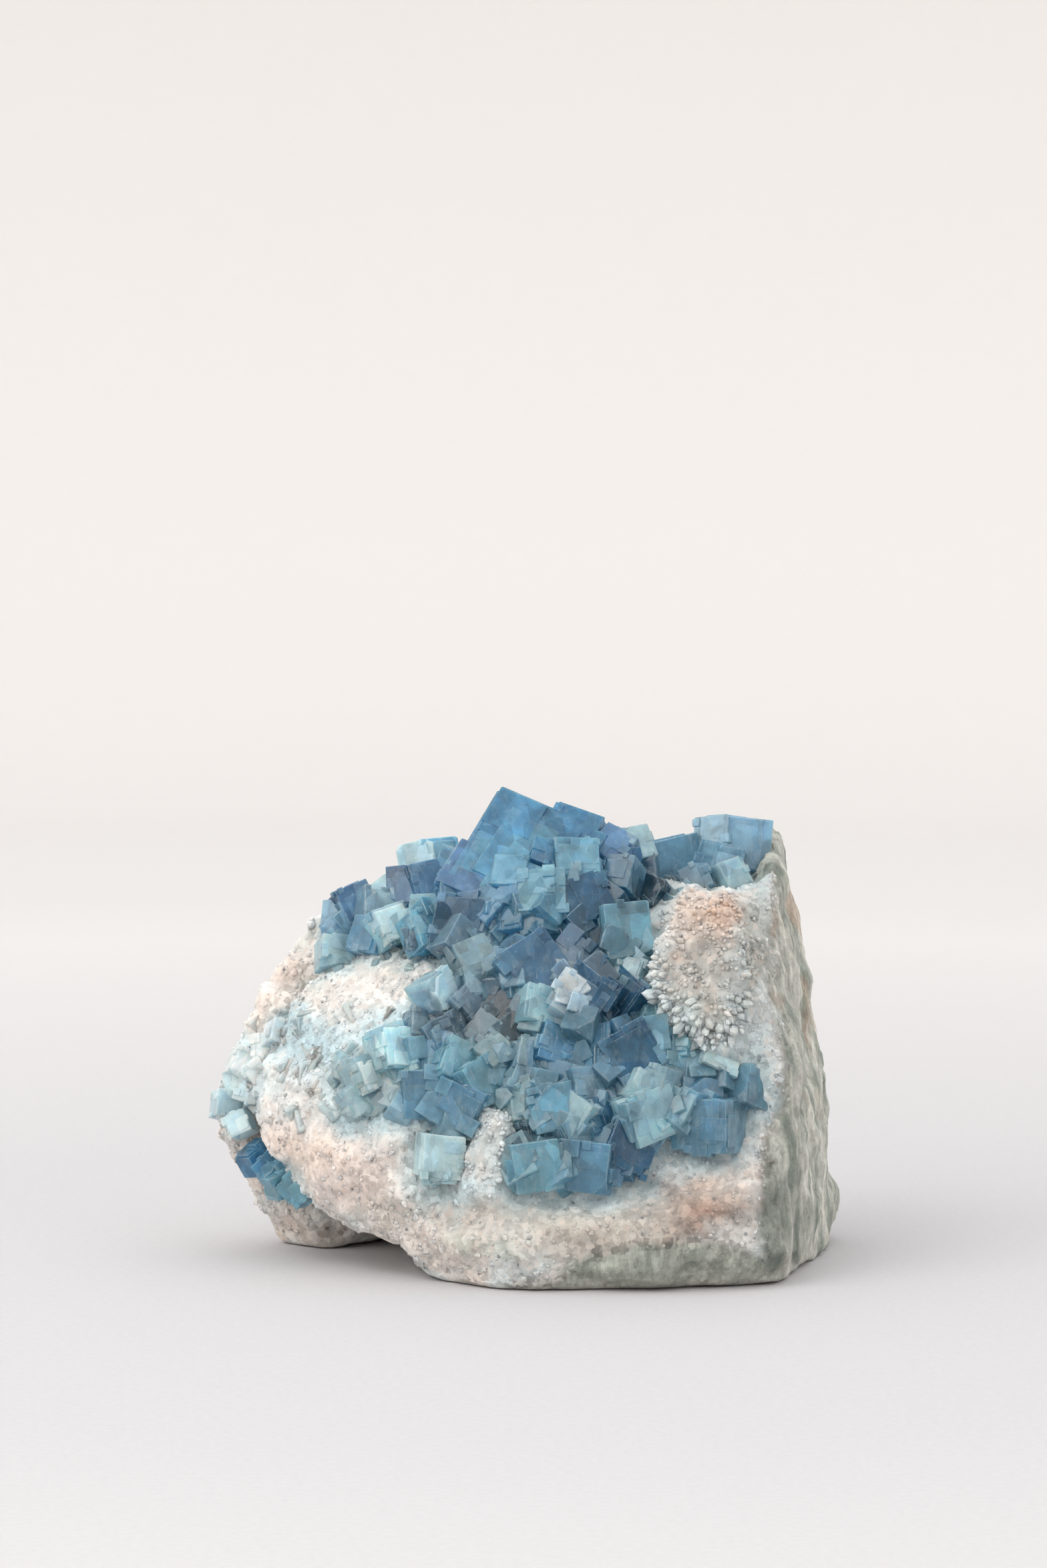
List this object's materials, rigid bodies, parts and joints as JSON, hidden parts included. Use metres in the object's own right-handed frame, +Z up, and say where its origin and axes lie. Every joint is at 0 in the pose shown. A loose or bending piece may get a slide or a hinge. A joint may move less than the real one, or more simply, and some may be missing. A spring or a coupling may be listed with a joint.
{
  "type": "fluorite cluster on matrix",
  "caption": "Hand-sized mineral specimen: intergrown blue fluorite cubes on a broken block of white vein quartz and green schist.",
  "frame": {"origin": "on the flat that the block rests on, under the middle of the object", "axes": "+Z up; -Y towards the side that carries the crystals; +X to the right of someone who looks at that side"},
  "size_m": [0.1131, 0.078, 0.0824],
  "materials": {
    "vein_rock": "broken granular quartz, white to peach, with foliated grey-green schist on the right side and underneath",
    "fluorite": "translucent blue cubic crystals, satin faces with pale worn edges and milky veils inside"
  },
  "bodies": {
    "root": {"matrix_rock": "vein_rock", "fluorite_druse": "fluorite", "right_ridge_crystals": "fluorite", "back_left_crystals": "fluorite", "left_rim_crystals": "fluorite", "seam_crystals": "fluorite", "grey_cube": "fluorite"}
  },
  "joints": []
}
